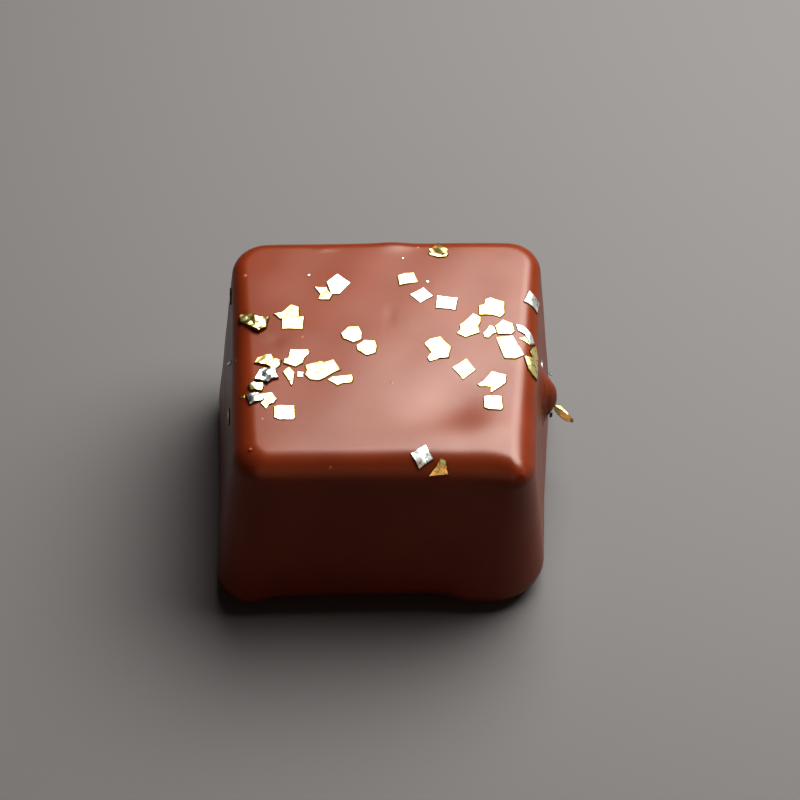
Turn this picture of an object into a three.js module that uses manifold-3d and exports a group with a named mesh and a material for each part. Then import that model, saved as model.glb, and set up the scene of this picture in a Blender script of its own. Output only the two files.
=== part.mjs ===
// Square chocolate praline with a scatter of metal leaf on top. Millimetres, +Z up.
// The origin is on the flat base, under the middle of the praline; the front is -Y.
import * as THREE from 'three';
import { mergeVertices } from 'three/addons/utils/BufferGeometryUtils.js';
import Module from 'manifold-3d';

// ---- driving dimensions ----
const HEIGHT = 17.3;
const HALF_WIDTH = 12.5;
const CORNER_RADIUS = 2.8;
const BASE_CORNER_RADIUS = 2.8;
const BASE_EDGE_RADIUS = 2.0;
// The top edge is softest at the front right and tightest at the back left.
const TOP_EDGE_RADIUS = 1.6;
const EDGE_SOFTENING_RIGHT = 0.1;
const EDGE_TIGHTENING_BACK = 0.55;
// The top falls away a little before it reaches its edges.
const SHOULDER_DROP = 0.15;
const SHOULDER_REACH = 1.8;

// The sharp corners that the rounded edges are cut from: front left, front right,
// back right, back left. The praline is cut by hand, so no two sides are alike.
const TOP_CORNERS = [[-11.8, -12.05], [11.9, -12.2], [12.8, 12.4], [-12.2, 12.0]];
const BASE_CORNERS = [[-13.75, -14.0], [13.15, -13.1], [14.2, 12.2], [-13.95, 11.8]];
// The left, right and back sides are a little waisted at the foot, as a block is that has shrunk.
const FOOT_WAIST = 0.25;
// Whatever would be lower than this at the foot lies flat on the ground.
const FOOT_FLAT = 0.1;
// The foot of the front is drawn in between two places along it.
const FOOT_RECESS = { deep: 1.75, left: -9.2, right: 5.6, blend: 1.2, sharpness: 7 };
// The front right corner of the top is sharper than the others, and is drawn out forwards.
const SHARP_CORNER = { tightening: 0.9, pull: 1.3, reach: 2.3 };

// Soft hollows and swellings of the coating on the top face.
const TOP_RELIEF = [
  { x: 5.4, y: -5.4, across: 2.9, deep: 2.4, rise: -0.24 },
  { x: 8.7, y: -8.6, across: 2.4, deep: 1.8, rise: 0.13 },
  { x: 3.5, y: -9.6, across: 3.6, deep: 1.6, rise: 0.08 },
  { x: 0.0, y: 0.0, across: 9.0, deep: 9.0, rise: 0.3 },
  { x: 0.8, y: 11.8, across: 1.3, deep: 0.9, rise: 0.15 },
];
// A run of coating that set as a lump halfway up the right side, partly sunk in it.
const LUMP = { y: 2.0, z: 9.4, proud: 1.2, sunk: 0.6, deep: 1.8, tall: 2.5 };

const BLOCK_STEPS = 22;
const BLOCK_STEPS_UP = 12;
const LUMP_STEPS = 14;
const FLAKE_RISE = 0.15;
const FLAKE_ROOT = 0.45;

// ---- cuts of leaf, counter-clockwise in a square from -1 to 1 about the middle ----
const CUTS = {
  anvil: [[-0.7, 0], [-1, -0.1], [-1, -0.6], [-0.1, -1], [0.5, -0.6], [0.6, 0], [1, 0.6], [0.9, 1],
    [-0.5, 1], [-0.6, 0.4]],
  axe: [[-0.5, -1], [-0.1, -0.8], [1, -0.4], [0.7, 0.1], [0.2, 1], [-0.6, 0.7], [-1, 0.1]],
  barge: [[-1, -0.5], [-0.8, -1], [0, -0.6], [0.8, -0.4], [0.9, 0.5], [1, 1], [-0.2, 0.7],
    [-0.7, 0.3]],
  blade: [[-0.4, 0.4], [-0.1, 0.1], [-1, -0.1], [-0.6, -0.8], [-0.1, -1], [0.7, -1], [0.9, -0.3],
    [1, 0.4], [0.5, 1], [-0.1, 0.7]],
  boat: [[-0.6, -0.4], [-0.2, -1], [0.2, -0.6], [0.9, -0.4], [1, 0.2], [0.9, 1], [-0.6, 0.8],
    [-1, 0.2]],
  boot: [[-0.8, 0], [-0.7, -0.4], [-1, -0.7], [-0.3, -1], [0.9, -0.6], [0.8, -0.1], [1, 0.3],
    [1, 0.7], [0.4, 1], [0, 0.6]],
  bracket: [[-0.4, -0.1], [-0.6, -0.9], [0.7, -1], [1, -0.3], [0.3, 1], [-1, 1]],
  card: [[-0.9, -0.9], [0.9, -1], [1, 0.9], [-0.9, 1]],
  chip: [[-1, -0.7], [-0.5, -1], [0.8, -1], [1, -0.7], [0.9, 0.9], [-0.5, 1], [-1, 0.8]],
  cloud: [[-0.9, -0.8], [0.1, -0.8], [0.7, -1], [1, -0.6], [1, 0.6], [0.4, 0.8], [0, 1],
    [-0.4, 0.8], [-0.5, 0.3], [-0.9, 0.1]],
  curl: [[-0.8, 0.3], [-0.2, 0], [0.2, -0.6], [0.5, -1], [1, -0.6], [0.8, 0.2], [0.3, 0.6],
    [-0.5, 0.9], [-1, 1]],
  diamond: [[-0.1, -1], [1, -0.1], [0.2, 1], [-1, 0.1]],
  drop: [[-0.8, -0.9], [-0.2, -1], [0.5, -0.4], [1, -0.1], [0.6, 0.8], [0, 1], [-1, -0.4]],
  fin: [[-0.7, -1], [1, -1], [0.9, 1], [-0.2, 0.5], [-1, -0.4]],
  flag: [[-0.8, -0.5], [-0.5, -1], [1, -0.7], [1, 0.6], [0.4, 1], [-0.4, -0.1], [-1, -0.3]],
  gem: [[-0.6, -1], [0.1, -1], [1, 0.1], [-0.1, 1], [-1, 0.2]],
  house: [[-0.7, -1], [0.7, -0.9], [1, -0.5], [0.8, 0.5], [-0.2, 1], [-1, 0.1]],
  kite: [[-0.7, -0.3], [-0.4, -1], [0.4, -1], [1, -0.6], [0.7, 0.1], [0.2, 1], [-1, 0.8]],
  lens: [[-1, -0.4], [-0.2, -0.7], [0.5, -1], [1, 0.4], [0.6, 0.5], [-0.5, 1]],
  pebble: [[-0.9, -0.3], [0, -1], [0.8, -0.7], [1, 0.1], [0.8, 0.9], [-0.2, 1], [-1, 0.3]],
  rag: [[-1, 0.3], [-0.2, -0.7], [0.3, -1], [0.8, -0.6], [1, 0.5], [0.3, 0.5], [-0.2, 0.7],
    [-0.6, 1], [-1, 1]],
  rock: [[-0.5, 1], [-0.7, 0.3], [-1, -0.5], [-0.5, -0.7], [0.1, -1], [0.6, -0.5], [1, -0.4],
    [0.8, 0.3], [0.9, 0.8]],
  shell: [[0.6, -1], [0.9, -0.6], [1, 0.1], [0.4, 0.5], [0.2, 1], [-0.2, 0.9], [-0.8, 0.5],
    [-1, -0.2]],
  shield: [[-0.6, 0], [-1, -0.3], [-0.3, -1], [0, -0.5], [0.7, -0.3], [1, 0.2], [0.4, 1],
    [-0.7, 0.9]],
  slab: [[-0.8, -1], [1, -0.5], [0.6, 1], [-0.4, 0.9], [-1, 0.5]],
  splinter: [[-1, -0.3], [-0.2, -0.9], [0.4, -1], [1, -0.4], [0.9, 0.1], [-0.5, 1], [-0.9, 0.6]],
  star: [[-0.3, -0.5], [-0.3, -1], [0.6, -0.4], [1, 0], [1, 0.7], [-0.2, 1], [-0.6, 0.5], [-1, 0]],
  strip: [[-0.8, -0.8], [0.8, -1], [1, 0.2], [0.9, 1], [-0.4, 0.9], [-1, 0.6]],
  thorn: [[-0.1, -0.5], [1, -1], [0.6, 0.1], [0, 1], [-1, 0.1]],
  tooth: [[-0.6, 0], [0, -0.5], [0.5, -1], [0.8, -0.5], [1, 0.4], [0, 1], [-1, 0.5]],
  wave: [[-0.9, 0.1], [-1, -0.4], [-0.7, -0.9], [-0.2, -1], [0.1, -0.8], [0.7, -0.2], [1, 0],
    [0.6, 1], [0.1, 0.8], [-0.2, 0.9], [-1, 0.5]],
  wedge: [[-1, -1], [1, -0.8], [0.8, 0.7], [0.2, 1]],
  wing: [[-0.8, 0.1], [-0.5, -1], [0.4, -0.5], [1, -0.3], [0.9, 0.6], [0.4, 0.9], [-1, 1]],
};

// ---- flakes: cut, x, y, length, width, turn in degrees ----
// x and y run over the top face and on over its edges, down the sides.
const FLAKES = [
  // back row
  ['gem', -3.6, 6.9, 2.0, 2.0, 0],
  ['bracket', -4.8, 6.0, 1.2, 1.3, 0],
  ['slab', 2.0, 7.5, 1.8, 1.5, 0],
  ['diamond', 3.1, 5.7, 2.0, 1.8, 0],
  ['card', 5.1, 4.9, 1.9, 1.5, -4],
  ['pebble', 4.5, 10.5, 1.7, 1.6, 0],
  // left of the middle
  ['rag', -10.3, 2.8, 2.4, 2.1, 0],
  ['flag', -7.8, 4.0, 2.2, 1.7, 0],
  ['card', -7.3, 2.8, 2.0, 1.5, 0],
  ['pebble', -2.5, 1.4, 1.8, 1.9, 10],
  ['pebble', -1.3, 0.0, 1.8, 1.8, 0],
  // left cluster
  ['shell', -9.2, -1.3, 2.3, 1.6, 0],
  ['rock', -9.3, -2.8, 2.0, 1.8, 0],
  ['anvil', -6.9, -1.0, 2.2, 1.9, 0],
  ['tooth', -7.5, -2.9, 1.0, 2.1, 0],
  ['card', -6.6, -2.7, 0.6, 0.7, 0],
  ['wave', -4.8, -2.3, 3.0, 2.3, 0],
  ['boat', -3.4, -3.4, 2.2, 1.2, 0],
  ['strip', -10.1, -4.0, 1.3, 0.9, 0],
  ['wing', -10.2, -5.2, 1.5, 1.3, 0],
  ['strip', -11.2, -4.7, 0.5, 0.3, 0],
  ['shield', -9.1, -5.4, 1.4, 1.8, 0],
  ['chip', -7.8, -6.6, 1.8, 1.6, 0],
  // right cluster
  ['axe', 4.4, 0.4, 2.3, 1.8, 0],
  ['barge', 4.5, -0.7, 2.0, 1.5, 0],
  ['boot', 6.9, 2.5, 2.0, 2.7, 0],
  ['cloud', 8.7, 4.5, 2.3, 2.2, 0],
  ['drop', 8.6, 1.9, 1.2, 1.5, 0],
  ['house', 9.8, 2.4, 1.7, 1.7, 0],
  ['kite', 10.2, 0.3, 2.3, 2.6, 0],
  ['diamond', 6.5, -2.1, 2.0, 2.2, 0],
  ['star', 8.9, -3.4, 2.0, 2.3, 0],
  ['fin', 8.1, -3.5, 1.2, 0.8, 0],
  ['chip', 8.8, -5.5, 1.6, 1.6, 0],
  // over the right edge
  ['lens', 12.2, 5.6, 1.8, 2.0, 0],
  ['curl', 11.5, 1.8, 1.7, 2.0, 0],
  ['blade', 12.1, -0.4, 1.7, 3.5, 0],
  ['thorn', 11.4, 1.2, 1.1, 0.8, 0],
  // over the front edge
  ['diamond', 3.1, -11.0, 2.0, 2.0, -8],
  ['wedge', 4.4, -11.8, 1.7, 1.4, 0],
  // on the left and right sides
  ['lens', -14.0, 8.0, 1.0, 2.2, 0],
  ['strip', -15.0, 2.0, 4.0, 0.25, -38],
  ['lens', -15.0, -3.4, 1.1, 2.0, 0],
  ['strip', 17.6, 2.9, 0.7, 2.6, 10],
];

// The one flake that stands out from the lump: a thin leaf held by its inner end.
const PROUD_FLAKE = {
  cut: 'splinter',
  innerEnd: [13.55, 1.45, 9.15],
  pointing: [0.81, -0.31, -0.49],
  facing: [-0.1, -0.72, 0.69],
  length: 2.5,
  width: 0.85,
  thickness: 0.2,
};

// ---- the praline's skin ----
const clamp = THREE.MathUtils.clamp;

function bell(distance, spread) {
  return Math.exp(-((distance / spread) ** 2));
}

const FLAT_HALF = HALF_WIDTH - CORNER_RADIUS;

function topEdgeRadius(x, y) {
  const right = clamp(x, -FLAT_HALF, FLAT_HALF) / HALF_WIDTH;
  const back = clamp(y, -FLAT_HALF, FLAT_HALF) / HALF_WIDTH;
  return TOP_EDGE_RADIUS + EDGE_SOFTENING_RIGHT * right - EDGE_TIGHTENING_BACK * back;
}

// Carries a point of the straight block's plan to the uneven plan at a share of the height.
function spreadPlan(x, y, share) {
  const corner = BASE_CORNERS.map(([baseX, baseY], i) => new THREE.Vector2(baseX, baseY)
    .lerp(new THREE.Vector2(...TOP_CORNERS[i]), share));
  const right = (x / HALF_WIDTH + 1) / 2;
  const back = (y / HALF_WIDTH + 1) / 2;
  const front = corner[0].clone().lerp(corner[1], right);
  return front.lerp(corner[3].clone().lerp(corner[2], right), back);
}

// How far the top falls away towards its edges.
function shoulder(across) {
  const inside = Math.max(HALF_WIDTH - Math.abs(across), 0);
  return SHOULDER_DROP * Math.exp(-inside / SHOULDER_REACH);
}

function footRecess(x, share) {
  const { deep, left, right, blend, sharpness } = FOOT_RECESS;
  const leftEnd = 1 + Math.tanh((x - left) / blend);
  const rightEnd = 1 + Math.tanh((right - x) / blend);
  return deep * (1 - share) ** sharpness * leftEnd * rightEnd / 4;
}

// Gives the straight block its uneven plan, its flared sides and the coat's relief.
function settle([x, y, z]) {
  const share = clamp(z / HEIGHT, 0, 1);
  const plan = spreadPlan(x, y, share);
  const front = clamp(-y / HALF_WIDTH, 0, 1);
  const pull = SHARP_CORNER.pull * share ** 4 * bell(plan.x - TOP_CORNERS[1][0], SHARP_CORNER.reach);
  const back = clamp(y / HALF_WIDTH, 0, 1);
  const waist = FOOT_WAIST * (1 - share);
  const outX = plan.x - waist * (x / HALF_WIDTH) * (1 - (y / HALF_WIDTH) ** 2);
  const drawnIn = front * (footRecess(x, share) - front * pull);
  const outY = plan.y + drawnIn - waist * back * (1 - (x / HALF_WIDTH) ** 2);
  let outZ = z - share ** 4 * (shoulder(plan.x) + shoulder(plan.y));
  for (const { x: middleX, y: middleY, across, deep, rise } of TOP_RELIEF) {
    outZ += rise * share ** 4 * bell(plan.x - middleX, across) * bell(plan.y - middleY, deep);
  }
  return new THREE.Vector3(outX, outY, outZ);
}

function cornerRadius([x, y, z]) {
  const share = z / HEIGHT;
  const frontRight = clamp(x / FLAT_HALF, 0, 1) * clamp(-y / FLAT_HALF, 0, 1);
  const evenRadius = THREE.MathUtils.lerp(BASE_CORNER_RADIUS, CORNER_RADIUS, share);
  return evenRadius - SHARP_CORNER.tightening * frontRight * share ** 4;
}

// Rounds the block: corners in plan first, then the edges at top and base.
function roundBlock([x, y, z]) {
  const corner = cornerRadius([x, y, z]);
  const flat = HALF_WIDTH - corner;
  const core = new THREE.Vector2(clamp(x, -flat, flat), clamp(y, -flat, flat));
  const outward = new THREE.Vector2(x, y).sub(core);
  const reach = outward.length();
  const edge = z > HEIGHT / 2 ? topEdgeRadius(x, y) : BASE_EDGE_RADIUS;
  const profile = new THREE.Vector2(reach, z);
  const hub = new THREE.Vector2(
    Math.min(reach, corner - edge),
    clamp(z, BASE_EDGE_RADIUS, HEIGHT - topEdgeRadius(x, y)),
  );
  profile.sub(hub).setLength(edge).add(hub);
  outward.setLength(profile.x);
  const height = profile.y < FOOT_FLAT ? 0 : profile.y;
  return [core.x + outward.x, core.y + outward.y, height];
}

// Follows the block's skin from the top face over the rounded edge and down the side.
function bendOverEdge(along, radius, lift) {
  const past = Math.abs(along) - (HALF_WIDTH - radius);
  if (past <= 0) {
    return { out: along, drop: 0 };
  }
  const angle = Math.min(past / radius, Math.PI / 2);
  const out = HALF_WIDTH - radius + (radius + lift) * Math.sin(angle);
  const downSide = Math.max(0, past - radius * Math.PI / 2);
  return { out: Math.sign(along) * out, drop: (radius + lift) * (1 - Math.cos(angle)) + downSide };
}

// A place on the praline's skin, given where it would be on the top face laid out flat.
function onSkin(x, y, lift) {
  let blockX = x;
  let blockY = y;
  for (let round = 0; round < 4; round += 1) {
    const plan = spreadPlan(blockX, blockY, 1);
    blockX += x - plan.x;
    blockY += y - plan.y;
  }
  const radius = topEdgeRadius(blockX, blockY);
  const across = bendOverEdge(blockX, radius, lift);
  const deep = bendOverEdge(blockY, radius, lift);
  return settle([across.out, deep.out, HEIGHT + lift - across.drop - deep.drop]);
}

// ---- shapes ----
function moveVertices(geometry, move) {
  const position = geometry.getAttribute('position');
  for (let i = 0; i < position.count; i += 1) {
    const point = move([position.getX(i), position.getY(i), position.getZ(i)]);
    position.setXYZ(i, point.x, point.y, point.z);
  }
  return geometry;
}

// Block steps are finer towards the edges, where the rounding is.
function gatherToEdges(distance, half) {
  return half * Math.sin((distance / half) * Math.PI / 2);
}

function coatedBlock() {
  const width = 2 * HALF_WIDTH;
  const block = new THREE.BoxGeometry(width, width, HEIGHT, BLOCK_STEPS, BLOCK_STEPS, BLOCK_STEPS_UP);
  return moveVertices(block, ([x, y, z]) => settle(roundBlock([
    gatherToEdges(x, HALF_WIDTH),
    gatherToEdges(y, HALF_WIDTH),
    HEIGHT / 2 + gatherToEdges(z, HEIGHT / 2),
  ])));
}

// A flat chip cut to an outline: each point of it is placed by its spot in the cut's square,
// and by whether it is on the upper or the lower face.
function cutChip(cut, placePoint) {
  const outline = CUTS[cut];
  const chip = new THREE.CylinderGeometry(1, 1, 1, outline.length);
  return moveVertices(chip, ([ringX, level, ringY]) => {
    const ringStep = Math.round(Math.atan2(ringX, ringY) / (2 * Math.PI) * outline.length);
    const onRing = Math.hypot(ringX, ringY) > 0.5;
    const [unitX, unitY] = onRing ? outline.at(ringStep % outline.length) : [0, 0];
    return placePoint(unitX, unitY, level > 0);
  });
}

// A thin chip of leaf pressed into the coating, with its middle on the skin too.
function flakeChip([cut, x, y, length, width, turn]) {
  const angle = THREE.MathUtils.degToRad(turn);
  return cutChip(cut, (unitX, unitY, isUpper) => {
    const place = new THREE.Vector2(unitX * length / 2, unitY * width / 2);
    place.rotateAround(new THREE.Vector2(), angle);
    return onSkin(x + place.x, y + place.y, isUpper ? FLAKE_RISE : -FLAKE_ROOT);
  });
}

function rightSideX(y, z) {
  return spreadPlan(HALF_WIDTH, y, z / HEIGHT).x;
}

function sideLump() {
  const { y, z, proud, sunk, deep, tall } = LUMP;
  const lump = new THREE.SphereGeometry(1, LUMP_STEPS, LUMP_STEPS / 2);
  lump.scale(proud + sunk, deep, tall);
  return lump.translate(rightSideX(y, z) - sunk, y, z);
}

function proudFlake() {
  const { cut, innerEnd, pointing, facing, length, width, thickness } = PROUD_FLAKE;
  const along = new THREE.Vector3(...pointing).normalize();
  const across = new THREE.Vector3(...facing).cross(along).normalize();
  const out = along.clone().cross(across);
  return cutChip(cut, (unitX, unitY, isUpper) => new THREE.Vector3(...innerEnd)
    .addScaledVector(along, (1 + unitX) * length / 2)
    .addScaledVector(across, unitY * width / 2)
    .addScaledVector(out, isUpper ? thickness / 2 : -thickness / 2));
}

// ---- joining ----
const wasm = await Module();
wasm.setup();

function toSolid(geometry) {
  geometry.deleteAttribute('normal');
  geometry.deleteAttribute('uv');
  const merged = mergeVertices(geometry, 1e-4);
  return new wasm.Manifold(new wasm.Mesh({
    numProp: 3,
    vertProperties: new Float32Array(merged.getAttribute('position').array),
    triVerts: new Uint32Array(merged.getIndex().array),
  }));
}

function toGeometry(solid) {
  const mesh = solid.getMesh();
  const geometry = new THREE.BufferGeometry();
  geometry.setAttribute('position', new THREE.BufferAttribute(mesh.vertProperties, 3));
  geometry.setIndex(new THREE.BufferAttribute(mesh.triVerts, 1));
  geometry.computeVertexNormals();
  return geometry;
}

function pralineGeometry() {
  let solid = toSolid(coatedBlock()).add(toSolid(sideLump())).add(toSolid(proudFlake()));
  for (const flake of FLAKES) {
    solid = solid.add(toSolid(flakeChip(flake)));
  }
  return toGeometry(solid);
}

// ---- the praline ----
const chocolate = new THREE.MeshStandardMaterial({ color: 0x7a3b26, roughness: 0.35, metalness: 0 });

const praline = new THREE.Mesh(pralineGeometry(), chocolate);
praline.name = 'praline';

const object = new THREE.Group();
object.add(praline);

export default object;
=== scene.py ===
"""Looks of the square chocolate praline: its coat, and the gold and silver leaf on it.

Shapes are worked out in millimetres, as the solid is, and turned into metres at the end.
"""

import math

import bmesh
import bpy
import numpy as np
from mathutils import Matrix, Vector


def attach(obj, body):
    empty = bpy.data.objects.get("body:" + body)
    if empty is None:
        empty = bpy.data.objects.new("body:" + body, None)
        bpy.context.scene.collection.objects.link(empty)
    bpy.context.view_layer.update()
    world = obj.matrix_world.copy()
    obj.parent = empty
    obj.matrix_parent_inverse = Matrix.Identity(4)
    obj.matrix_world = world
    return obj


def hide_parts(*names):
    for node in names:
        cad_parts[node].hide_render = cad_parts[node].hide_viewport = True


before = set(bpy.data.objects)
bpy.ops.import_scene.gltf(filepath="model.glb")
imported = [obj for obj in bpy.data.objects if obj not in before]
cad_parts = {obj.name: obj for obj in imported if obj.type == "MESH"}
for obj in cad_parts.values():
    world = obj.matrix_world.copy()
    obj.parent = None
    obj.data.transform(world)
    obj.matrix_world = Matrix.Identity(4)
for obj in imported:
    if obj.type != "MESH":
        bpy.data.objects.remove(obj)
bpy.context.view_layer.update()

MM = 0.001
SEED = 8

# ---- sizes of the praline, in mm, as in the solid ----
HEIGHT = 17.3
HALF_WIDTH = 12.5
CORNER_RADIUS = 2.8
BASE_CORNER_RADIUS = 4.0
BASE_EDGE_RADIUS = 2.4
# The top edge is softest at the front right and tightest at the back left.
TOP_EDGE_RADIUS = 1.6
EDGE_SOFTENING_RIGHT = 0.1
EDGE_TIGHTENING_BACK = 0.55
SHOULDER_DROP = 0.15
SHOULDER_REACH = 1.8
# What belongs to the top fades out down the sides with this power of the height.
TOP_FADE = 4
FLAT_HALF = HALF_WIDTH - CORNER_RADIUS

# Front left, front right, back right, back left.
TOP_CORNERS = np.array([[-11.8, -12.05], [11.9, -12.2], [12.8, 12.4], [-12.2, 12.0]])
BASE_CORNERS = np.array([[-13.75, -14.0], [13.15, -13.1], [14.2, 12.2], [-13.95, 11.8]])
# The left, right and back sides are a little waisted at the foot.
FOOT_WAIST = 0.25
# The foot of the front is drawn in between two places along it.
FOOT_RECESS = 1.75
FOOT_RECESS_LEFT = -9.2
FOOT_RECESS_RIGHT = 5.6
FOOT_RECESS_BLEND = 1.2
FOOT_RECESS_SHARPNESS = 7
# The front right corner of the top is sharper than the others, and is drawn out forwards.
CORNER_TIGHTENING = 0.9
CORNER_PULL = 1.3
CORNER_PULL_REACH = 2.3

# Hollows and swellings of the top: x, y, across, deep, rise.
TOP_RELIEF = [
    (5.4, -5.4, 2.9, 2.4, -0.24),
    (8.7, -8.6, 2.4, 1.8, 0.13),
    (3.5, -9.6, 3.6, 1.6, 0.08),
    (0.0, 0.0, 9.0, 9.0, 0.3),
    (0.8, 11.8, 1.3, 0.9, 0.15),
    (-8.6, 1.0, 0.7, 0.5, -0.02),
    (0.6, 3.6, 0.4, 0.9, -0.02),
    (-4.7, 10.9, 0.7, 0.25, 0.03),
]

LUMP_Y = 2.0
LUMP_Z = 9.4
LUMP_PROUD = 1.2
LUMP_DEEP = 1.6
LUMP_TALL = 2.3
LUMP_SHOULDER = 0.85
LUMP_STEEPNESS = 2.6
LUMP_REACH = 1.8
LUMP_SUNK = 0.08
LUMP_WRINKLES = 3.2
LUMP_WRINKLE = 0.02
LUMP_WRINKLE_SWAY = 1.2
LUMP_WRINKLE_BAND = 0.5
LUMP_STEPS = 96
LUMP_RINGS = 48

COAT_CUTS = 127
WAVE_COUNT = 9
WAVE_LENGTHS = (3.5, 9.0)
WAVE_HEIGHT = 0.006

# ---- leaf ----
# Cuts of leaf, counter-clockwise in a square from -1 to 1 about the flake's middle.
CUTS = {
    "anvil": [(-0.7, 0), (-1, -0.1), (-1, -0.6), (-0.1, -1), (0.5, -0.6), (0.6, 0), (1, 0.6),
              (0.9, 1), (-0.5, 1), (-0.6, 0.4)],
    "axe": [(-0.5, -1), (-0.1, -0.8), (1, -0.4), (0.7, 0.1), (0.2, 1), (-0.6, 0.7), (-1, 0.1)],
    "barge": [(-1, -0.5), (-0.8, -1), (0, -0.6), (0.8, -0.4), (0.9, 0.5), (1, 1), (-0.2, 0.7),
              (-0.7, 0.3)],
    "blade": [(-0.4, 0.4), (-0.1, 0.1), (-1, -0.1), (-0.6, -0.8), (-0.1, -1), (0.7, -1),
              (0.9, -0.3), (1, 0.4), (0.5, 1), (-0.1, 0.7)],
    "boat": [(-0.6, -0.4), (-0.2, -1), (0.2, -0.6), (0.9, -0.4), (1, 0.2), (0.9, 1), (-0.6, 0.8),
             (-1, 0.2)],
    "boot": [(-0.8, 0), (-0.7, -0.4), (-1, -0.7), (-0.3, -1), (0.9, -0.6), (0.8, -0.1), (1, 0.3),
             (1, 0.7), (0.4, 1), (0, 0.6)],
    "bracket": [(-0.4, -0.1), (-0.6, -0.9), (0.7, -1), (1, -0.3), (0.3, 1), (-1, 1)],
    "card": [(-0.9, -0.9), (0.9, -1), (1, 0.9), (-0.9, 1)],
    "chip": [(-1, -0.7), (-0.5, -1), (0.8, -1), (1, -0.7), (0.9, 0.9), (-0.5, 1), (-1, 0.8)],
    "cloud": [(-0.9, -0.8), (0.1, -0.8), (0.7, -1), (1, -0.6), (1, 0.6), (0.4, 0.8), (0, 1),
              (-0.4, 0.8), (-0.5, 0.3), (-0.9, 0.1)],
    "curl": [(-0.8, 0.3), (-0.2, 0), (0.2, -0.6), (0.5, -1), (1, -0.6), (0.8, 0.2), (0.3, 0.6),
             (-0.5, 0.9), (-1, 1)],
    "diamond": [(-0.1, -1), (1, -0.1), (0.2, 1), (-1, 0.1)],
    "drop": [(-0.8, -0.9), (-0.2, -1), (0.5, -0.4), (1, -0.1), (0.6, 0.8), (0, 1), (-1, -0.4)],
    "fin": [(-0.7, -1), (1, -1), (0.9, 1), (-0.2, 0.5), (-1, -0.4)],
    "flag": [(-0.8, -0.5), (-0.5, -1), (1, -0.7), (1, 0.6), (0.4, 1), (-0.4, -0.1), (-1, -0.3)],
    "gem": [(-0.6, -1), (0.1, -1), (1, 0.1), (-0.1, 1), (-1, 0.2)],
    "house": [(-0.7, -1), (0.7, -0.9), (1, -0.5), (0.8, 0.5), (-0.2, 1), (-1, 0.1)],
    "kite": [(-0.7, -0.3), (-0.4, -1), (0.4, -1), (1, -0.6), (0.7, 0.1), (0.2, 1), (-1, 0.8)],
    "lens": [(-1, -0.4), (-0.2, -0.7), (0.5, -1), (1, 0.4), (0.6, 0.5), (-0.5, 1)],
    "pebble": [(-0.9, -0.3), (0, -1), (0.8, -0.7), (1, 0.1), (0.8, 0.9), (-0.2, 1), (-1, 0.3)],
    "rag": [(-1, 0.3), (-0.2, -0.7), (0.3, -1), (0.8, -0.6), (1, 0.5), (0.3, 0.5), (-0.2, 0.7),
            (-0.6, 1), (-1, 1)],
    "rock": [(-0.5, 1), (-0.7, 0.3), (-1, -0.5), (-0.5, -0.7), (0.1, -1), (0.6, -0.5), (1, -0.4),
             (0.8, 0.3), (0.9, 0.8)],
    "shell": [(0.6, -1), (0.9, -0.6), (1, 0.1), (0.4, 0.5), (0.2, 1), (-0.2, 0.9), (-0.8, 0.5),
              (-1, -0.2)],
    "shield": [(-0.6, 0), (-1, -0.3), (-0.3, -1), (0, -0.5), (0.7, -0.3), (1, 0.2), (0.4, 1),
               (-0.7, 0.9)],
    "slab": [(-0.8, -1), (1, -0.5), (0.6, 1), (-0.4, 0.9), (-1, 0.5)],
    "splinter": [(-1, -0.3), (-0.2, -0.9), (0.4, -1), (1, -0.4), (0.9, 0.1), (-0.5, 1), (-0.9, 0.6)],
    "star": [(-0.3, -0.5), (-0.3, -1), (0.6, -0.4), (1, 0), (1, 0.7), (-0.2, 1), (-0.6, 0.5),
             (-1, 0)],
    "strip": [(-0.8, -0.8), (0.8, -1), (1, 0.2), (0.9, 1), (-0.4, 0.9), (-1, 0.6)],
    "thorn": [(-0.1, -0.5), (1, -1), (0.6, 0.1), (0, 1), (-1, 0.1)],
    "tooth": [(-0.6, 0), (0, -0.5), (0.5, -1), (0.8, -0.5), (1, 0.4), (0, 1), (-1, 0.5)],
    "wave": [(-0.9, 0.1), (-1, -0.4), (-0.7, -0.9), (-0.2, -1), (0.1, -0.8), (0.7, -0.2), (1, 0),
             (0.6, 1), (0.1, 0.8), (-0.2, 0.9), (-1, 0.5)],
    "wedge": [(-1, -1), (1, -0.8), (0.8, 0.7), (0.2, 1)],
    "wing": [(-0.8, 0.1), (-0.5, -1), (0.4, -0.5), (1, -0.3), (0.9, 0.6), (0.4, 0.9), (-1, 1)],
}

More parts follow.
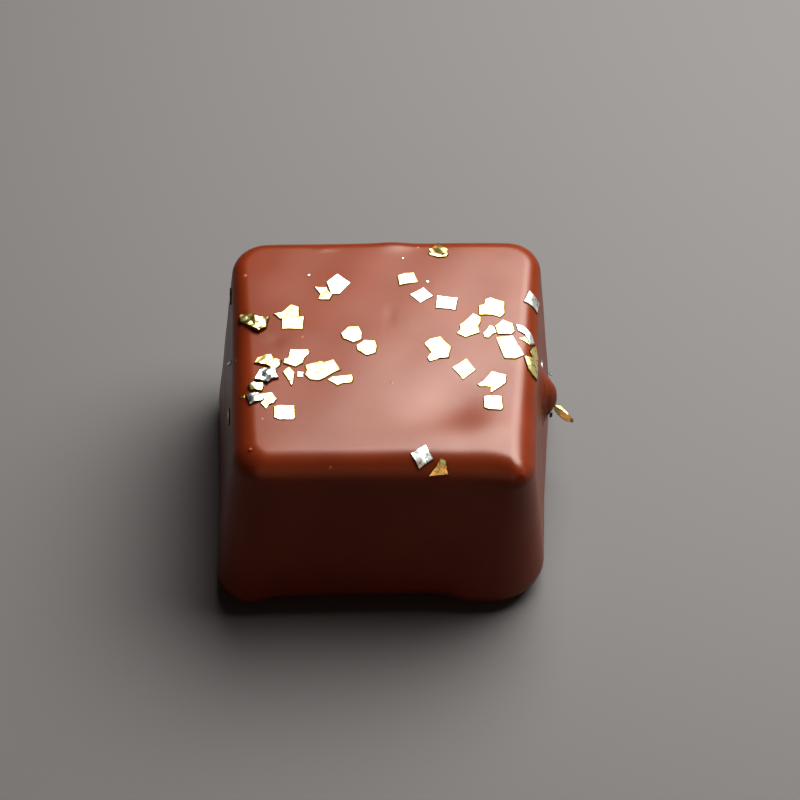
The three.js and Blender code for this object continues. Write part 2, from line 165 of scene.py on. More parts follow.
# metal, cut, x, y, length, width, turn in degrees, crumple.
# x and y run over the top face and on over its edges, down the sides.
FLAKES = [
    # back row
    ("silver", "gem", -3.6, 7.0, 2.1, 2.4, 0, 0.0),
    ("gold", "bracket", -4.8, 5.9, 1.5, 1.5, 0, 0.15),
    ("gold", "slab", 2.0, 7.5, 1.8, 1.5, 0, 0.05),
    ("silver", "diamond", 3.1, 5.7, 2.0, 1.8, 0, 0.0),
    ("silver", "card", 5.1, 4.9, 1.9, 1.5, -4, 0.0),
    ("gold", "pebble", 4.5, 10.3, 1.7, 0.9, 0, 0.1),
    # left of the middle
    ("gold", "rag", -10.3, 2.8, 2.4, 2.1, 0, 0.8),
    ("gold", "flag", -7.8, 4.0, 2.2, 1.7, 0, 0.05),
    ("gold", "card", -7.3, 2.8, 2.0, 1.5, 0, 0.0),
    ("gold", "pebble", -2.5, 1.4, 1.8, 1.9, 10, 0.05),
    ("gold", "pebble", -1.3, 0.0, 1.8, 1.8, 0, 0.0),
    # left cluster
    ("gold", "shell", -9.2, -1.3, 2.3, 1.6, 0, 0.35),
    ("silver", "rock", -9.3, -2.8, 2.0, 1.8, 0, 0.6),
    ("gold", "anvil", -6.9, -1.0, 2.2, 1.9, 0, 0.1),
    ("gold", "tooth", -7.5, -2.9, 1.0, 2.1, 0, 0.15),
    ("gold", "card", -6.6, -2.7, 0.6, 0.7, 0, 0.0),
    ("gold", "wave", -4.8, -2.3, 3.0, 2.3, 0, 0.05),
    ("gold", "boat", -3.4, -3.4, 2.2, 1.2, 0, 0.0),
    ("gold", "strip", -10.1, -4.0, 1.3, 0.9, 0, 0.5),
    ("silver", "wing", -10.2, -5.2, 1.5, 1.3, 0, 0.5),
    ("gold", "strip", -11.2, -4.7, 0.5, 0.3, 0, 0.0),
    ("gold", "shield", -9.1, -5.4, 1.4, 1.8, 0, 0.1),
    ("gold", "chip", -7.8, -6.6, 1.8, 1.6, 0, 0.0),
    # right cluster
    ("gold", "axe", 4.4, 0.4, 2.3, 1.8, 0, 0.0),
    ("gold", "barge", 4.5, -0.7, 2.0, 1.5, 0, 0.1),
    ("gold", "boot", 6.9, 2.5, 2.0, 2.7, 0, 0.05),
    ("gold", "cloud", 8.7, 4.5, 2.3, 2.2, 0, 0.05),
    ("gold", "drop", 8.6, 1.9, 1.2, 1.5, 0, 0.0),
    ("gold", "house", 9.8, 2.4, 1.7, 1.7, 0, 0.05),
    ("gold", "kite", 10.2, 0.3, 2.3, 2.6, 0, 0.0),
    ("gold", "diamond", 6.5, -2.1, 2.0, 2.2, 0, 0.0),
    ("gold", "star", 8.9, -3.4, 2.0, 2.3, 0, 0.05),
    ("gold", "fin", 8.1, -3.5, 1.2, 0.8, 0, 0.0),
    ("gold", "chip", 8.8, -5.5, 1.6, 1.6, 0, 0.05),
    # over the right edge
    ("silver", "lens", 12.2, 5.6, 1.8, 2.0, 0, 0.1),
    ("silver", "curl", 11.5, 1.8, 1.7, 2.0, 0, 0.1),
    ("gold", "blade", 12.1, -0.4, 1.7, 3.5, 0, 0.15),
    ("gold", "thorn", 11.4, 1.2, 1.1, 0.8, 0, 0.0),
    # over the front edge
    ("silver", "diamond", 3.1, -11.0, 2.0, 2.0, -8, 0.2),
    ("gold", "wedge", 4.4, -11.8, 1.7, 1.4, 0, 0.1),
    # on the left and right sides
    ("gold", "lens", -14.0, 8.0, 1.0, 2.2, 0, 0.1),
    ("silver", "strip", -15.0, 2.0, 4.0, 0.25, -38, 0.1),
    ("gold", "lens", -15.0, -3.4, 1.1, 2.0, 0, 0.1),
    ("silver", "strip", 17.6, 2.9, 0.7, 2.6, 10, 0.1),
    # crumbs of leaf
    ("silver", "chip", -6.0, 8.0, 0.28, 0.28, 0, 0.0),
    ("silver", "chip", 1.6, 9.8, 0.22, 0.22, 0, 0.0),
    ("silver", "chip", 3.6, 7.2, 0.28, 0.28, 0, 0.0),
]

LEAF_LIFT = 0.07
LEAF_SUNK = 0.015
LEAF_STEP = 0.08
LEAF_RINGS = 12
LEAF_TEAR = 0.02
LEAF_BEND = 0.08
LEAF_BEND_SHARE = 0.35
LEAF_SWAY = 0.02
LEAF_FOLD_LENGTHS = (1.7, 0.8, 1.2, 0.6)
LEAF_FOLD_SLOPE = 0.3
LEAF_FOLD_STRAY = 0.3
LEAF_SHARP_ANGLE = 14
# Marks the flakes' rims, where the leaf material paints a dark outline of shade.
RIM_SHADE_ATTRIBUTE = "leaf_rim_shade"

# Leaf that stands free of the coat, by the lump and at the back edge: metal, cut, inner end,
# direction that it points in, direction that it faces, length, width, how far it turns back.
LOOSE_LEAF = [
    ("gold", "splinter", (13.8, 1.3, 8.9), (0.81, -0.31, -0.49), (-0.1, -0.72, 0.69),
     2.15, 0.85, 0.75),
    ("gold", "gem", (3.75, 10.6, 17.5), (1.0, 0.0, 0.05), (0.1, -0.62, 0.78), 1.6, 1.1, 0.0),
    ("silver", "chip", (13.45, 3.1, 10.9), (0.8, 0.0, -0.6), (0.5, -0.1, 0.8), 0.4, 0.25, 0.0),
    ("silver", "chip", (13.6, 1.0, 8.0), (0.6, -0.2, 0.7), (-0.4, -0.2, 0.9), 0.35, 0.4, 0.0),
]
LOOSE_THICKNESS = 0.02
LOOSE_CRUMPLE = 0.35
LOOSE_TURN_START = 0.35
LOOSE_TURN_POWER = 1.5

# Tiny air bubbles under the coat's skin: x, y, radius.
BUBBLES = [
    (-11.2, 8.1, 0.16),
    (0.7, -3.6, 0.12),
    (-6.5, 1.3, 0.12),
    (-11.9, -0.5, 0.12),
    (2.8, 11.1, 0.11),
    (-9.6, -7.2, 0.12),
    (-10.5, -10.2, 0.11),
    (-4.1, -11.8, 0.12),
    (-4.1, 7.6, 0.09),
]
BUBBLE_PROUD = 0.16
BUBBLE_STEPS = 20
BUBBLE_RINGS = 6
# A dome's outermost and innermost ring, as shares of its radius; the outermost is under the skin.
BUBBLE_RING_ENDS = (1.25, 0.1)

# ---- view of the photograph ----
CAMERA_TARGET = (1.37, 1.6, 9.3)
CAMERA_DISTANCE = 520.0
CAMERA_ELEVATION = 49.5
CAMERA_LENS = 287.8
SENSOR_WIDTH = 36.0
CAMERA_CLIP = (0.05, 20.0)

# ---- light: azimuths are to the right of straight back, sizes and distances in mm ----
KEY_AZIMUTH = 44
KEY_ELEVATION = 60
KEY_DISTANCE = 200
KEY_SIZE = (200, 200)
KEY_RADIANCE = 9.6
FILL_AZIMUTH = 95
FILL_ELEVATION = 20
FILL_DISTANCE = 420
FILL_SIZE = (200, 260)
FILL_RADIANCE = 0.6
FRONT_AZIMUTH = 195
FRONT_ELEVATION = 20
FRONT_DISTANCE = 400
FRONT_SIZE = (300, 300)
FRONT_RADIANCE = 0.8
KEY_COLOUR = (0.96, 1.0, 0.97)
FRONT_COLOUR = (1.0, 0.62, 0.42)
WORLD_COLOUR = (0.9, 0.92, 1.0, 1.0)
WORLD_STRENGTH = 0.035
FLOOR_HALF = 2.0
FLOOR_COLOUR = (0.132, 0.122, 0.123, 1.0)
LOOK = "High Contrast"
COAT_DARK = (0.132, 0.0255, 0.0072)
COAT_BRIGHT = (0.156, 0.0305, 0.0091)
# Paler chocolate on the bubbles: a painted highlight for the glints that the tiny domes are too
# small to catch.
BUBBLE_HIGHLIGHT_DARK = (0.22, 0.07, 0.035)
BUBBLE_HIGHLIGHT_BRIGHT = (0.25, 0.085, 0.045)
COAT_ROUGHNESS = (0.30, 0.36)
COAT_SPECULAR = 0.42
COAT_SUBSURFACE = 0.12
COAT_SUBSURFACE_RADIUS = (1.0, 0.35, 0.2)
COAT_SUBSURFACE_SCALE = 0.0008
# Colours of leaf: painted shade for its creases and rims, its dull patches, its bright patches.
GOLD = ((0.20, 0.12, 0.03), (0.95, 0.72, 0.27), (1.0, 0.86, 0.42))
SILVER = ((0.20, 0.19, 0.17), (0.80, 0.79, 0.76), (0.95, 0.94, 0.92))
LEAF_ROUGHNESS = (0.30, 0.44)
# Scales of the noise in the materials, in waves per metre.
COAT_TINT_WAVES = 180.0
COAT_SHEEN_WAVES = 320.0
COAT_GRAIN_WAVES = 2500.0
LEAF_PATCH_WAVES = 900.0
LEAF_WEAR_WAVES = 1500.0
LEAF_GRAIN_WAVES = 3200.0
COAT_BUMP_STRENGTH = 0.15
LEAF_BUMP_STRENGTH = 0.3
BUMP_DISTANCE = 0.00002


# ---- the praline's skin, in mm ----
def bell(distance, spread):
    return np.exp(-((distance / spread) ** 2))


def top_edge_radius(x, y):
    right = np.clip(x, -FLAT_HALF, FLAT_HALF) / HALF_WIDTH
    back = np.clip(y, -FLAT_HALF, FLAT_HALF) / HALF_WIDTH
    return TOP_EDGE_RADIUS + EDGE_SOFTENING_RIGHT * right - EDGE_TIGHTENING_BACK * back


def spread_plan(x, y, share):
    """Carries points of the straight block's plan to the uneven plan at a share of the height."""
    share = np.broadcast_to(share, x.shape)[:, None, None]
    corners = BASE_CORNERS * (1 - share) + TOP_CORNERS * share
    right = ((x / HALF_WIDTH + 1) / 2)[:, None]
    back = ((y / HALF_WIDTH + 1) / 2)[:, None]
    front_side = corners[:, 0] * (1 - right) + corners[:, 1] * right
    back_side = corners[:, 3] * (1 - right) + corners[:, 2] * right
    return front_side * (1 - back) + back_side * back


def lump_height(y, z):
    """How far the lump stands out: a rounded heap with wrinkles that run round it."""
    distance = np.hypot((y - LUMP_Y) / LUMP_DEEP, (z - LUMP_Z) / LUMP_TALL)
    heap = LUMP_PROUD * np.exp(-((distance / LUMP_SHOULDER) ** LUMP_STEEPNESS))
    sway = LUMP_WRINKLE_SWAY * np.sin(2.5 * y + z)
    wrinkle = np.cos(2 * math.pi * LUMP_WRINKLES * distance + sway)
    fade = np.exp(-(((distance - LUMP_SHOULDER) / LUMP_WRINKLE_BAND) ** 2))
    return heap + LUMP_WRINKLE * wrinkle * fade


def shoulder(across):
    """How far the top falls away towards its edges."""
    return SHOULDER_DROP * np.exp(-np.clip(HALF_WIDTH - np.abs(across), 0, None) / SHOULDER_REACH)


def settle(x, y, z):
    """Gives the straight block its uneven plan, its flared sides and the coat's relief."""
    share = np.clip(z / HEIGHT, 0, 1)
    plan = spread_plan(x, y, share)
    left_end = 1 + np.tanh((x - FOOT_RECESS_LEFT) / FOOT_RECESS_BLEND)
    right_end = 1 + np.tanh((FOOT_RECESS_RIGHT - x) / FOOT_RECESS_BLEND)
    front = np.clip(-y / HALF_WIDTH, 0, 1)
    recess = FOOT_RECESS * (1 - share) ** FOOT_RECESS_SHARPNESS * left_end * right_end / 4
    pull = CORNER_PULL * share**TOP_FADE * bell(plan[:, 0] - TOP_CORNERS[1, 0], CORNER_PULL_REACH)
    back = np.clip(y / HALF_WIDTH, 0, 1)
    waist = FOOT_WAIST * (1 - share)
    out_x = plan[:, 0] - waist * (x / HALF_WIDTH) * (1 - (y / HALF_WIDTH) ** 2)
    out_y = plan[:, 1] + front * (recess - front * pull)
    out_y -= waist * back * (1 - (x / HALF_WIDTH) ** 2)
    out_z = z - share**TOP_FADE * (shoulder(plan[:, 0]) + shoulder(plan[:, 1]))
    for middle_x, middle_y, across, deep, rise in TOP_RELIEF:
        hump = bell(plan[:, 0] - middle_x, across) * bell(plan[:, 1] - middle_y, deep)
        out_z += rise * share**TOP_FADE * hump
    return np.column_stack([out_x, out_y, out_z])


def coat_waves():
    """Long, very low waves of the coat, each with its own direction, length and phase."""
    draw = np.random.default_rng(SEED)
    waves = []
    for _ in range(WAVE_COUNT):
        direction = draw.normal(size=3)
        direction /= np.linalg.norm(direction)
        length = draw.uniform(*WAVE_LENGTHS)
        waves.append((direction * 2 * math.pi / length, draw.uniform(0, 2 * math.pi)))
    return waves


WAVES = coat_waves()


def wave_height(x, y, z):
    points = np.column_stack([x, y, z])
    total = sum(np.sin(points @ direction + phase) for direction, phase in WAVES)
    return WAVE_HEIGHT * total * np.clip(z / BASE_EDGE_RADIUS, 0, 1)


def round_block(x, y, z):
    """Rounds the block: corners in plan first, then the edges at top and base."""
    share = z / HEIGHT
    front_right = np.clip(x / FLAT_HALF, 0, 1) * np.clip(-y / FLAT_HALF, 0, 1)
    corner_radius = BASE_CORNER_RADIUS * (1 - share) + CORNER_RADIUS * share
    corner_radius -= CORNER_TIGHTENING * front_right * share**TOP_FADE
    flat_half = HALF_WIDTH - corner_radius
    core = np.column_stack([np.clip(x, -flat_half, flat_half), np.clip(y, -flat_half, flat_half)])
    outward = np.column_stack([x, y]) - core
    reach = np.hypot(outward[:, 0], outward[:, 1])
    direction = outward / np.maximum(reach, 1e-9)[:, None]
    top_radius = top_edge_radius(x, y)
    radius = np.where(z > HEIGHT / 2, top_radius, BASE_EDGE_RADIUS)
    hub_out = np.minimum(reach, corner_radius - radius)
    hub_up = np.clip(z, BASE_EDGE_RADIUS, HEIGHT - top_radius)
    out, up = reach - hub_out, z - hub_up
    length = np.hypot(out, up)
    out, up = out / length, up / length
    plan = core + direction * (hub_out + radius * out)[:, None]
    height = hub_up + radius * up
    lift = wave_height(plan[:, 0], plan[:, 1], height)
    plan += direction * (out * lift)[:, None]
    return plan[:, 0], plan[:, 1], height + up * lift


def bend_over_edge(along, radius, lift):
    """Follows the block's skin from the top face over the rounded edge and down the side."""
    past = np.abs(along) - (HALF_WIDTH - radius)
    angle = np.clip(past / radius, 0, math.pi / 2)
    beyond = HALF_WIDTH - radius + (radius + lift) * np.sin(angle)
    out = np.where(past > 0, np.sign(along) * beyond, along)
    down_side = np.maximum(0, past - radius * math.pi / 2)
    return out, (radius + lift) * (1 - np.cos(angle)) + down_side


def bend_over_edges(x, y, radius, lift):
    """Follows the skin over both pairs of edges, from places on the top face laid out flat."""
    out_x, drop_x = bend_over_edge(x, radius, lift)
    out_y, drop_y = bend_over_edge(y, radius, lift)
    return out_x, out_y, HEIGHT + lift - drop_x - drop_y


def on_skin(x, y, lift):
    """Places on the praline's skin, given where they would be on the top face laid out flat."""
    block_x, block_y = x.copy(), y.copy()
    for _ in range(4):
        plan = spread_plan(block_x, block_y, 1.0)
        block_x += x - plan[:, 0]
        block_y += y - plan[:, 1]
    radius = top_edge_radius(block_x, block_y)
    waves = wave_height(*bend_over_edges(block_x, block_y, radius, lift))
    return settle(*bend_over_edges(block_x, block_y, radius, lift + waves))


# ---- mesh helpers ----
def mesh_object(name, points_mm, faces):
    mesh = bpy.data.meshes.new(name)
    mesh.from_pydata((np.asarray(points_mm) * MM).tolist(), [], faces)
    mesh.validate()
    mesh.shade_smooth()
    piece = bpy.data.objects.new(name, mesh)
    bpy.context.collection.objects.link(piece)
    return piece


def dress(piece, material):
    piece.data.materials.append(material)
    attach(piece, "root")
    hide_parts("praline")


# ---- the coat ----
def gather_to_edges(distance, half):
    return half * np.sin(distance / half * math.pi / 2)


def coat_piece():
    shape = bmesh.new()
    bmesh.ops.create_cube(shape, size=2.0)
    bmesh.ops.subdivide_edges(shape, edges=shape.edges[:], cuts=COAT_CUTS, use_grid_fill=True)
    unit = np.array([vertex.co[:] for vertex in shape.verts])
    x = gather_to_edges(unit[:, 0] * HALF_WIDTH, HALF_WIDTH)
    y = gather_to_edges(unit[:, 1] * HALF_WIDTH, HALF_WIDTH)
    z = HEIGHT / 2 + gather_to_edges(unit[:, 2] * HEIGHT / 2, HEIGHT / 2)
    points = settle(*round_block(x, y, z)) * MM
    mesh = bpy.data.meshes.new("coat")
    shape.to_mesh(mesh)
    shape.free()
    mesh.vertices.foreach_set("co", points.ravel())
    mesh.update()
    mesh.shade_smooth()
    piece = bpy.data.objects.new("coat", mesh)
    bpy.context.collection.objects.link(piece)
    return piece


def bubbles_piece():
    """Low domes where air sits just under the skin."""
    points, faces = [], []
    steps = BUBBLE_STEPS
    turn = np.tile(np.arange(steps) * 2 * math.pi / steps, BUBBLE_RINGS)
    share = np.repeat(np.linspace(*BUBBLE_RING_ENDS, BUBBLE_RINGS), steps)
    for x, y, radius in BUBBLES:
        start = len(points)
        out_x = np.append(radius * share * np.cos(turn), 0)
        out_y = np.append(radius * share * np.sin(turn), 0)
        lift = radius * BUBBLE_PROUD * (1 - np.append(share, 0) ** 2)
        points.extend(on_skin(x + out_x, y + out_y, lift))
        for ring in range(BUBBLE_RINGS - 1):
            low, high = start + ring * steps, start + (ring + 1) * steps
            for step in range(steps):
                after = (step + 1) % steps
                faces.append((low + step, low + after, high + after, high + step))
        for step in range(steps):
            faces.append((high + step, high + (step + 1) % steps, len(points) - 1))
        faces.append(tuple(start + step for step in reversed(range(steps))))
    return mesh_object("bubbles", points, faces)


def right_wall_x(y, z):
    """How far out the right side is, at a depth and a height."""
    share = z / HEIGHT
    edge = np.full(y.shape, HALF_WIDTH)
    front_end = spread_plan(edge, -edge, share)
    back_end = spread_plan(edge, edge, share)
    along = (y - front_end[:, 1]) / (back_end[:, 1] - front_end[:, 1])
    waist = FOOT_WAIST * (1 - share) * (1 - (2 * along - 1) ** 2)
    return front_end[:, 0] * (1 - along) + back_end[:, 0] * along - waist


def lump_piece():
    """The run of coating that set as a wrinkled lump halfway up the right side."""
    steps = LUMP_STEPS
    turn = np.append(np.tile(np.arange(steps) * 2 * math.pi / steps, LUMP_RINGS), 0)
    distance = np.linspace(LUMP_REACH, LUMP_REACH / LUMP_RINGS, LUMP_RINGS)
    distance = np.append(np.repeat(distance, steps), 0)
    y = LUMP_Y + LUMP_DEEP * distance * np.cos(turn)
    z = LUMP_Z + LUMP_TALL * distance * np.sin(turn)
    sunk = LUMP_SUNK * (distance / LUMP_REACH) ** 4
    x = right_wall_x(y, z) + lump_height(y, z) - sunk
    points = np.column_stack([x, y, z])
    faces = []
    for ring in range(LUMP_RINGS - 1):
        low, high = ring * steps, (ring + 1) * steps
        for step in range(steps):
            after = (step + 1) % steps
            faces.append((low + step, low + after, high + after, high + step))
    for step in range(steps):
        faces.append((high + step, high + (step + 1) % steps, len(points) - 1))
    faces.append(tuple(reversed(range(steps))))
    return mesh_object("lump", points, faces)


# ---- leaf ----
def leaf_outline(cut, length, width, draw):
    """The rim of a flake in its own plane, torn a little along its sides."""
    corners = np.array(CUTS[cut], float) * (length / 2, width / 2)
    sides = np.roll(corners, -1, axis=0) - corners
    rim = []
    for corner, side in zip(corners, sides):
        count = max(2, math.ceil(np.hypot(*side) / LEAF_STEP))
        rim.extend(corner + side * step / count for step in range(count))
    rim = np.array(rim)
    tear = draw.normal(size=len(rim))
    tear = (np.roll(tear, 1) + tear + np.roll(tear, -1)) / 3
    return rim * (1 + tear * LEAF_TEAR / max(length, width))[:, None]


def leaf_height(local, crumple, draw):
    """A flake's height over the coat: it sways, and where crumpled it is folded several ways."""
    bearing = draw.uniform(0, 2 * math.pi)
    height = LEAF_SWAY * (local @ np.array([math.cos(bearing), math.sin(bearing)]))
    for number, fold_length in enumerate(LEAF_FOLD_LENGTHS):
        stray = draw.uniform(-LEAF_FOLD_STRAY, LEAF_FOLD_STRAY)
        bearing = (number + stray) * math.pi / len(LEAF_FOLD_LENGTHS)
        across = local @ np.array([math.cos(bearing), math.sin(bearing)]) / fold_length
        across += draw.uniform(0, 1)
        height += crumple * LEAF_FOLD_SLOPE * fold_length * np.abs(across - np.round(across))
    return height


def leaf_rings(rim):
    """A flake's middle, then its rings of points, out to the one that is bent down to the coat."""
    reach = np.hypot(rim[:, 0], rim[:, 1])
    bend = 1 - np.minimum(LEAF_BEND, reach * LEAF_BEND_SHARE) / reach
    shares = [bend * share for share in np.linspace(0, 1, LEAF_RINGS)[1:]]
    rings = [rim * share[:, None] for share in shares] + [rim]
    return np.vstack([[[0, 0]]] + rings)


def ring_faces(rim_count, ring_count):
    """Faces of rings of points round a middle point, which comes first."""
    faces = [(0, 1 + step, 1 + (step + 1) % rim_count) for step in range(rim_count)]
    for ring in range(ring_count - 1):
        inner, outer = 1 + ring * rim_count, 1 + (ring + 1) * rim_count
        for step in range(rim_count):
            after = (step + 1) % rim_count
            faces.append((inner + step, outer + step, outer + after, inner + after))
    return faces


def turned(local, degrees):
    angle = math.radians(degrees)
    cos, sin = math.cos(angle), math.sin(angle)
    return local @ np.array([[cos, sin], [-sin, cos]])


def add_flake(points, faces, rim_shade_flags, flake, draw):
    """A flake pressed on to the coat, closed below by a face under the coat's skin."""
    _, cut, x, y, length, width, turn, crumple = flake
    rim = leaf_outline(cut, length, width, draw)
    local = leaf_rings(rim)
    height = LEAF_LIFT + leaf_height(local, crumple, draw)
    height[-len(rim):] = -LEAF_SUNK
    place = turned(local, turn)
    start = len(points)
    points.extend(on_skin(x + place[:, 0], y + place[:, 1], height))
    points.extend(on_skin(np.array([x]), np.array([y]), np.array([-LEAF_LIFT])))
    # 1 along the rim, where the material paints shade.
    rim_shade_flags.extend([0.0] * (len(local) - 2 * len(rim)) + [1.0] * (2 * len(rim) + 1))
    upper = ring_faces(len(rim), LEAF_RINGS)
    faces.extend(tuple(start + vertex for vertex in face) for face in upper)
    below, last = len(points) - 1, start + len(local) - len(rim)
    for step in range(len(rim)):
        faces.append((last + (step + 1) % len(rim), last + step, below))


def add_loose_leaf(points, faces, rim_shade_flags, leaf, draw):
    """A thin leaf held by one end, with both its faces showing."""
    _, cut, inner_end, pointing, facing, length, width, turn_back = leaf
    rim = leaf_outline(cut, length, width, draw)
    local = leaf_rings(rim)
    height = leaf_height(local, LOOSE_CRUMPLE * width, draw)
    upper_edge = np.clip(local[:, 1] / (width / 2) - LOOSE_TURN_START, 0, 1)
    height = height - turn_back * upper_edge**LOOSE_TURN_POWER
    along = Vector(pointing).normalized()
    across = Vector(facing).cross(along).normalized()
    out = along.cross(across)
    axes = np.array([along, across, out])
    start = len(points)
    for lift in (0.0, LOOSE_THICKNESS):
        placed = np.column_stack([local[:, 0] + length / 2, local[:, 1], height + lift])
        points.extend(np.array(inner_end) + placed @ axes)
        rim_shade_flags.extend([0.0] * (len(local) - len(rim)) + [1.0] * len(rim))
    upper = ring_faces(len(rim), LEAF_RINGS)
    count = len(local)
    faces.extend(tuple(start + vertex for vertex in reversed(face)) for face in upper)
    faces.extend(tuple(start + count + vertex for vertex in face) for face in upper)
    last = start + count - len(rim)
    for step in range(len(rim)):
        after = (step + 1) % len(rim)
        faces.append((last + step, last + after, last + count + after, last + count + step))


def leaf_piece(metal):
    """All the leaf of one metal, with an attribute that is 1 along the flakes' rims, where the
    material paints shade.
    """
    points, faces, rim_shade_flags = [], [], []
    for number, flake in enumerate(FLAKES):
        if flake[0] == metal:
            add_flake(points, faces, rim_shade_flags, flake, np.random.default_rng(SEED + number))
    for number, leaf in enumerate(LOOSE_LEAF):
        if leaf[0] == metal:
            add_loose_leaf(points, faces, rim_shade_flags, leaf, np.random.default_rng(SEED - 1 - number))
    piece = mesh_object(metal + "_leaf", points, faces)
    piece.data.set_sharp_from_angle(angle=math.radians(LEAF_SHARP_ANGLE))
    rim = piece.data.attributes.new(RIM_SHADE_ATTRIBUTE, "FLOAT", "POINT")
    rim.data.foreach_set("value", np.array(rim_shade_flags, dtype=np.float32))
    return piece


# ---- materials ----
def new_material(name):
    material = bpy.data.materials.new(name)
    material.use_nodes = True
    nodes = material.node_tree.nodes
    return material, nodes, material.node_tree.links, nodes["Principled BSDF"]


def noise(nodes, links, scale, detail, distortion=0.0):
    """Noise in object space; its scale is in waves per metre."""
    coordinates = nodes.new("ShaderNodeTexCoord")
    texture = nodes.new("ShaderNodeTexNoise")
    texture.inputs["Scale"].default_value = scale
    texture.inputs["Detail"].default_value = detail
    texture.inputs["Distortion"].default_value = distortion
    links.new(coordinates.outputs["Object"], texture.inputs["Vector"])
    return texture.outputs["Fac"]


def ramp(nodes, links, factor, stops):
    """Maps a factor through (place, value or colour) stops."""
    node = nodes.new("ShaderNodeValToRGB")
    elements = node.color_ramp.elements
    while len(elements) < len(stops):
        elements.new(0.5)
    for element, (place, value) in zip(elements, stops):
        element.position = place
        colour = (value, value, value) if isinstance(value, float) else value
        element.color = (*colour, 1.0)
    links.new(factor, node.inputs["Fac"])
    return node.outputs["Color"]


def bump(nodes, links, shader, height, strength, distance):
    node = nodes.new("ShaderNodeBump")
    node.inputs["Strength"].default_value = strength
    node.inputs["Distance"].default_value = distance
    links.new(height, node.inputs["Height"])
    links.new(node.outputs["Normal"], shader.inputs["Normal"])


def chocolate_material(name, dark, bright):
    material, nodes, links, shader = new_material(name)
    tint = noise(nodes, links, COAT_TINT_WAVES, 3.0)
    colour = ramp(nodes, links, tint, [(0.30, dark), (0.70, bright)])
    links.new(colour, shader.inputs["Base Color"])
    sheen_patches = noise(nodes, links, COAT_SHEEN_WAVES, 2.0)
    sheen = ramp(nodes, links, sheen_patches, [(0.3, COAT_ROUGHNESS[0]), (0.7, COAT_ROUGHNESS[1])])
    links.new(sheen, shader.inputs["Roughness"])
    grain = noise(nodes, links, COAT_GRAIN_WAVES, 3.0)
    bump(nodes, links, shader, grain, COAT_BUMP_STRENGTH, BUMP_DISTANCE)
    shader.inputs["Specular IOR Level"].default_value = COAT_SPECULAR
    shader.inputs["Subsurface Weight"].default_value = COAT_SUBSURFACE
    shader.inputs["Subsurface Radius"].default_value = COAT_SUBSURFACE_RADIUS
    shader.inputs["Subsurface Scale"].default_value = COAT_SUBSURFACE_SCALE
    return material


def leaf_material(name, painted_shade, dull, bright):
    """Beaten leaf: patches of bright and dull, thin dark lines of painted shade as creases, and
    painted shade along the rims.
    """
    material, nodes, links, shader = new_material(name)
    patches = noise(nodes, links, LEAF_PATCH_WAVES, 2.0, 0.6)
    colour = ramp(nodes, links, patches, [
        (0.30, dull),
        (0.42, bright),
        (0.50, bright),
        # A thin band of painted shade, drawn as creases.
        (0.52, painted_shade),
        (0.54, bright),
    ])
    # Painted shade along the flakes' rims, taken from the rim attribute.
    rim = nodes.new("ShaderNodeAttribute")
    rim.attribute_name = RIM_SHADE_ATTRIBUTE
    rim_shaded = nodes.new("ShaderNodeMix")
    rim_shaded.data_type = "RGBA"
    links.new(rim.outputs["Fac"], rim_shaded.inputs["Factor"])
    links.new(colour, rim_shaded.inputs["A"])
    rim_shaded.inputs["B"].default_value = (*painted_shade, 1.0)
    links.new(rim_shaded.outputs["Result"], shader.inputs["Base Color"])
    wear = noise(nodes, links, LEAF_WEAR_WAVES, 3.0)
    roughness = ramp(nodes, links, wear, [(0.3, LEAF_ROUGHNESS[0]), (0.7, LEAF_ROUGHNESS[1])])
    links.new(roughness, shader.inputs["Roughness"])
    grain = noise(nodes, links, LEAF_GRAIN_WAVES, 4.0, 1.0)
    bump(nodes, links, shader, grain, LEAF_BUMP_STRENGTH, BUMP_DISTANCE)
    shader.inputs["Metallic"].default_value = 1.0
    return material


# ---- stage ----
def floor_piece():
    half = FLOOR_HALF
    corners = [(-half, -half, 0), (half, -half, 0), (half, half, 0), (-half, half, 0)]
    mesh = bpy.data.meshes.new("floor")
    mesh.from_pydata(corners, [], [(0, 1, 2, 3)])
    piece = bpy.data.objects.new("floor", mesh)
    bpy.context.collection.objects.link(piece)
    material, _, _, shader = new_material("floor")
    shader.inputs["Base Color"].default_value = FLOOR_COLOUR
    shader.inputs["Roughness"].default_value = 0.9
    mesh.materials.append(material)


def area_light(name, place_mm, size_mm, radiance, shape="RECTANGLE", colour=(1.0, 1.0, 1.0)):
    """A soft light aimed at the top of the praline, given by how bright its face looks."""
    data = bpy.data.lights.new(name, "AREA")
    data.shape = shape
    data.size, data.size_y = size_mm[0] * MM, size_mm[1] * MM
    face_share = math.pi / 4 if shape == "ELLIPSE" else 1.0
    data.energy = radiance * math.pi * data.size * data.size_y * face_share
    data.color = colour
    light = bpy.data.objects.new(name, data)
    bpy.context.collection.objects.link(light)
    place = Vector(place_mm) * MM
    light.location = place
    light.rotation_mode = "QUATERNION"
    aim = Vector((0, 0, HEIGHT)) * MM
    light.rotation_quaternion = (aim - place).to_track_quat("-Z", "Y")
    light.visible_camera = False


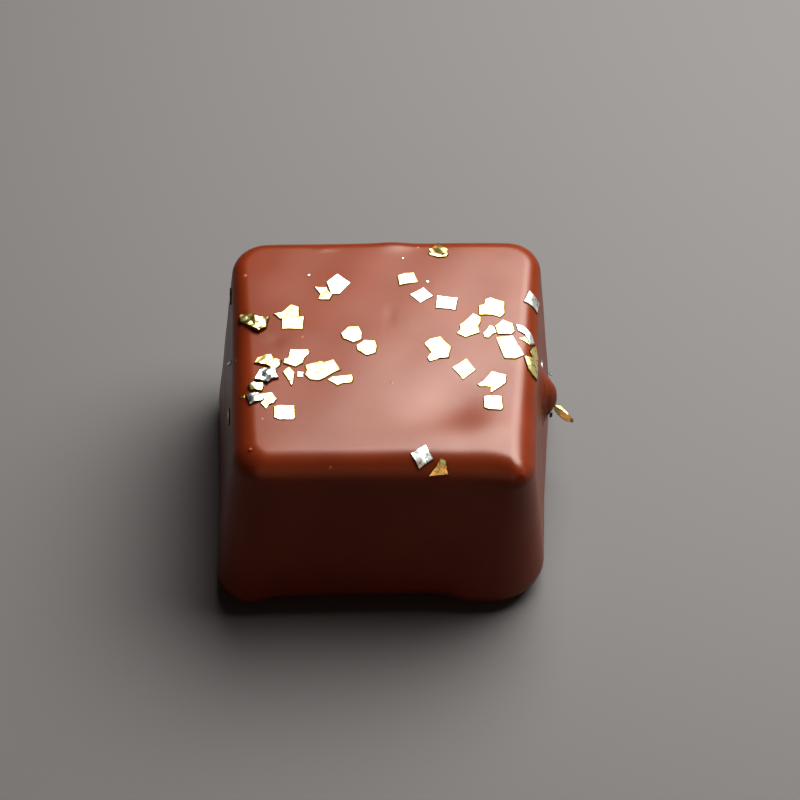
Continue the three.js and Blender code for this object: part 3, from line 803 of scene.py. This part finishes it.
def direction_mm(azimuth, elevation, distance):
    """A point at a distance, with its azimuth to the right of straight back."""
    turn, rise = math.radians(azimuth), math.radians(elevation)
    out = distance * math.cos(rise)
    return out * math.sin(turn), out * math.cos(turn), distance * math.sin(rise)


def lights():
    key = direction_mm(KEY_AZIMUTH, KEY_ELEVATION, KEY_DISTANCE)
    area_light("key_softbox", key, KEY_SIZE, KEY_RADIANCE, "ELLIPSE", KEY_COLOUR)
    fill = direction_mm(FILL_AZIMUTH, FILL_ELEVATION, FILL_DISTANCE)
    area_light("right_fill", fill, FILL_SIZE, FILL_RADIANCE)
    front = direction_mm(FRONT_AZIMUTH, FRONT_ELEVATION, FRONT_DISTANCE)
    area_light("front_fill", front, FRONT_SIZE, FRONT_RADIANCE, "RECTANGLE", FRONT_COLOUR)
    world = bpy.data.worlds.new("studio")
    world.use_nodes = True
    background = world.node_tree.nodes["Background"]
    background.inputs["Color"].default_value = WORLD_COLOUR
    background.inputs["Strength"].default_value = WORLD_STRENGTH
    bpy.context.scene.world = world


def camera():
    data = bpy.data.cameras.new("camera")
    data.sensor_width = SENSOR_WIDTH
    data.lens = CAMERA_LENS
    data.clip_start, data.clip_end = CAMERA_CLIP
    eye = bpy.data.objects.new("camera", data)
    bpy.context.collection.objects.link(eye)
    elevation = math.radians(CAMERA_ELEVATION)
    away = Vector((0, -math.cos(elevation), math.sin(elevation)))
    eye.location = (Vector(CAMERA_TARGET) + away * CAMERA_DISTANCE) * MM
    eye.rotation_mode = "QUATERNION"
    eye.rotation_quaternion = (-away).to_track_quat("-Z", "Y")
    bpy.context.scene.camera = eye


# ---- the scene ----
camera()
floor_piece()
lights()
bpy.context.scene.view_settings.view_transform = "Standard"
bpy.context.scene.view_settings.look = LOOK

chocolate = chocolate_material("chocolate_coat", COAT_DARK, COAT_BRIGHT)
# The bubbles' chocolate is paler: painted highlight on the domes.
bubble_highlight_paint = chocolate_material("chocolate_bubble_painted_highlight", BUBBLE_HIGHLIGHT_DARK, BUBBLE_HIGHLIGHT_BRIGHT)
gold = leaf_material("gold_leaf", *GOLD)
silver = leaf_material("silver_leaf", *SILVER)

dress(coat_piece(), chocolate)
dress(lump_piece(), chocolate)
dress(bubbles_piece(), bubble_highlight_paint)
dress(leaf_piece("gold"), gold)
dress(leaf_piece("silver"), silver)
